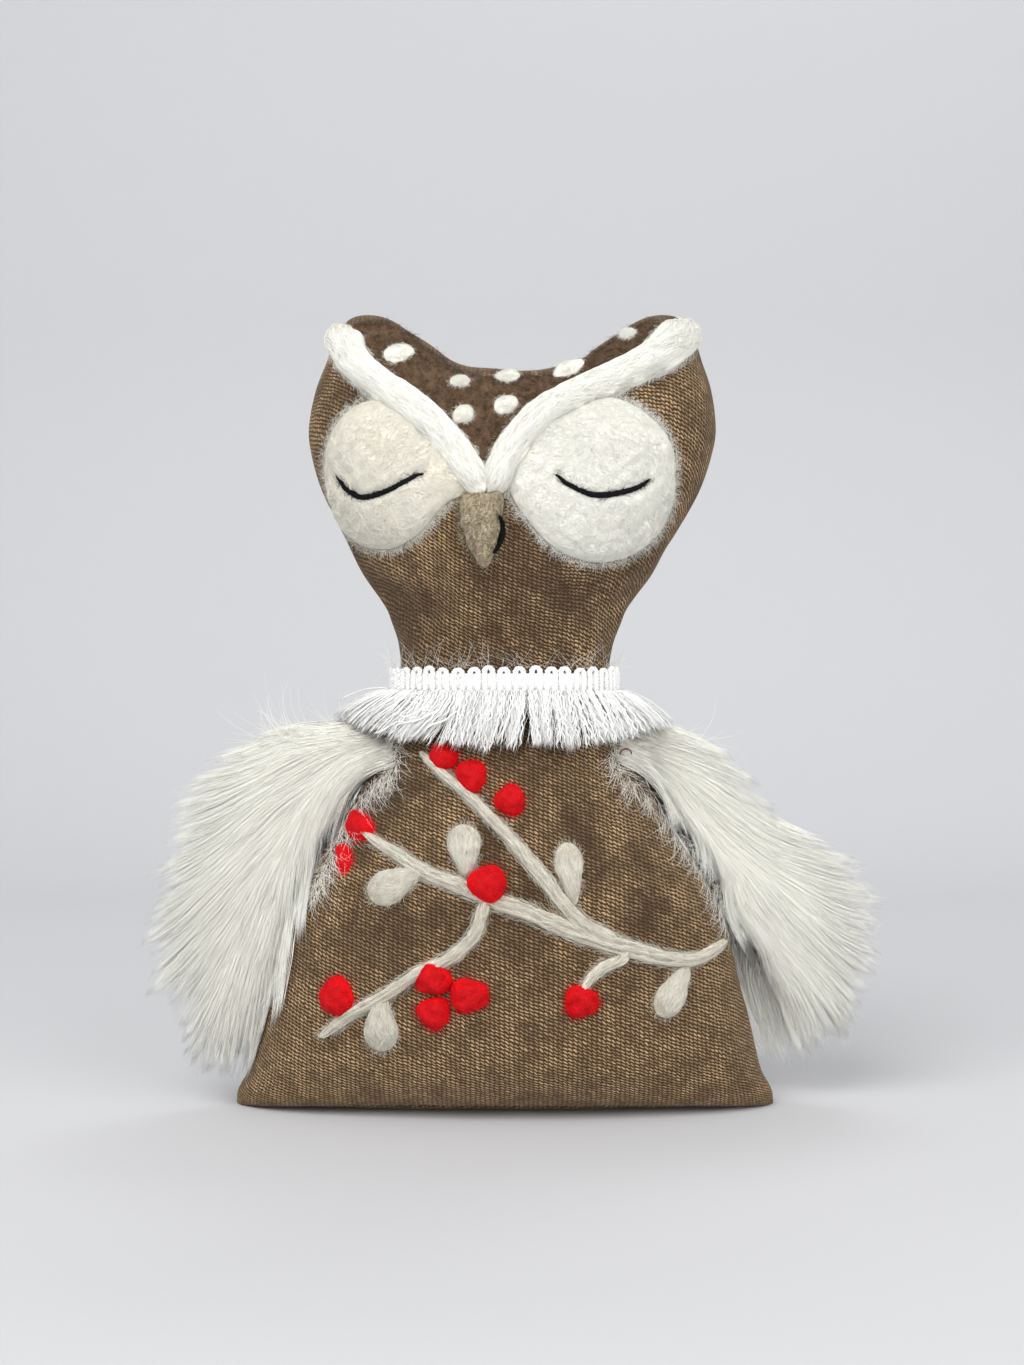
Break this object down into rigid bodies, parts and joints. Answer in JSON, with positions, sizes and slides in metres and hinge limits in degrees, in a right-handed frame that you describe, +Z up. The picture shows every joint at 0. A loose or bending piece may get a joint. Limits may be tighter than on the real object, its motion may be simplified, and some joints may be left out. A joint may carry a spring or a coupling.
{
  "type": "plush owl",
  "caption": "Stuffed cloth owl with closed felted eyes, a berry sprig, a fringed collar and fur wings that lift at the shoulders.",
  "frame": {"origin": "middle of the flat base panel's underside, on the surface that the owl stands on", "axes": "+Z up from the base to the ear tips; the owl faces -Y; +X is to the right as seen from the front"},
  "size_m": [0.2444, 0.0804, 0.2567],
  "materials": {
    "brown_velour": "brushed knitted velour",
    "dark_felt": "needle-felted wool",
    "ivory_wool": "needle-felted wool",
    "twig_wool": "needle-felted wool roving",
    "red_wool": "needle-felted wool",
    "beak_felt": "matted tweedy felt",
    "black_thread": "twisted cotton thread",
    "white_trim": "glossy rayon",
    "white_fur": "long silky pile",
    "fur_cloth": "knitted backing",
    "fibrefill": "loose polyester fibre",
    "pellet_cloth": "plain weave"
  },
  "bodies": {
    "body": {"body_front_panel": "brown_velour", "body_back_panel": "brown_velour", "base_panel": "brown_velour", "body_stuffing": "fibrefill", "pellet_pouch": "pellet_cloth", "collar_band": "white_trim", "collar_fringe": "white_trim", "twig_main": "twig_wool", "twig_upper": "twig_wool", "twig_lower": "twig_wool", "twig_small": "twig_wool", "leaf_1": "twig_wool", "leaf_2": "twig_wool", "leaf_3": "twig_wool", "leaf_4": "twig_wool", "leaf_5": "twig_wool", "berry_1": "red_wool", "berry_2": "red_wool", "berry_3": "red_wool", "berry_4": "red_wool", "berry_5": "red_wool", "berry_6": "red_wool", "berry_7": "red_wool", "berry_8": "red_wool", "berry_9": "red_wool", "berry_10": "red_wool", "berry_11": "red_wool"},
    "head": {"head_front_panel": "brown_velour", "head_back_panel": "brown_velour", "head_stuffing": "fibrefill", "forehead_patch": "dark_felt", "forehead_dot_1": "ivory_wool", "forehead_dot_2": "ivory_wool", "forehead_dot_3": "ivory_wool", "forehead_dot_4": "ivory_wool", "forehead_dot_5": "ivory_wool", "forehead_dot_6": "ivory_wool", "forehead_dot_7": "ivory_wool", "eye_disc_left": "ivory_wool", "eye_disc_right": "ivory_wool", "eyelid_stitch_left": "black_thread", "eyelid_stitch_right": "black_thread", "brow_left": "ivory_wool", "brow_right": "ivory_wool", "beak": "beak_felt", "beak_stitch": "black_thread"},
    "wing_left": {"wing_left_backing": "fur_cloth", "wing_left_front_fur": "white_fur", "wing_left_back_fur": "white_fur"},
    "wing_right": {"wing_right_backing": "fur_cloth", "wing_right_front_fur": "white_fur", "wing_right_back_fur": "white_fur"}
  },
  "joints": [
    {"name": "neck_nod", "type": "hinge", "parent": "body", "child": "head", "pos_m": [0, 0, 0.1378], "axis": [1, 0, 0], "range_deg": [-10, 10], "stiffness_Nm_per_rad": 0.4},
    {"name": "wing_left_lift", "type": "hinge", "parent": "body", "child": "wing_left", "pos_m": [-0.04624, -0.007, 0.106], "axis": [0, 1, 0], "range_deg": [0, 75]},
    {"name": "wing_right_lift", "type": "hinge", "parent": "body", "child": "wing_right", "pos_m": [0.04624, 0.004, 0.106], "axis": [0, -1, 0], "range_deg": [0, 75]}
  ]
}
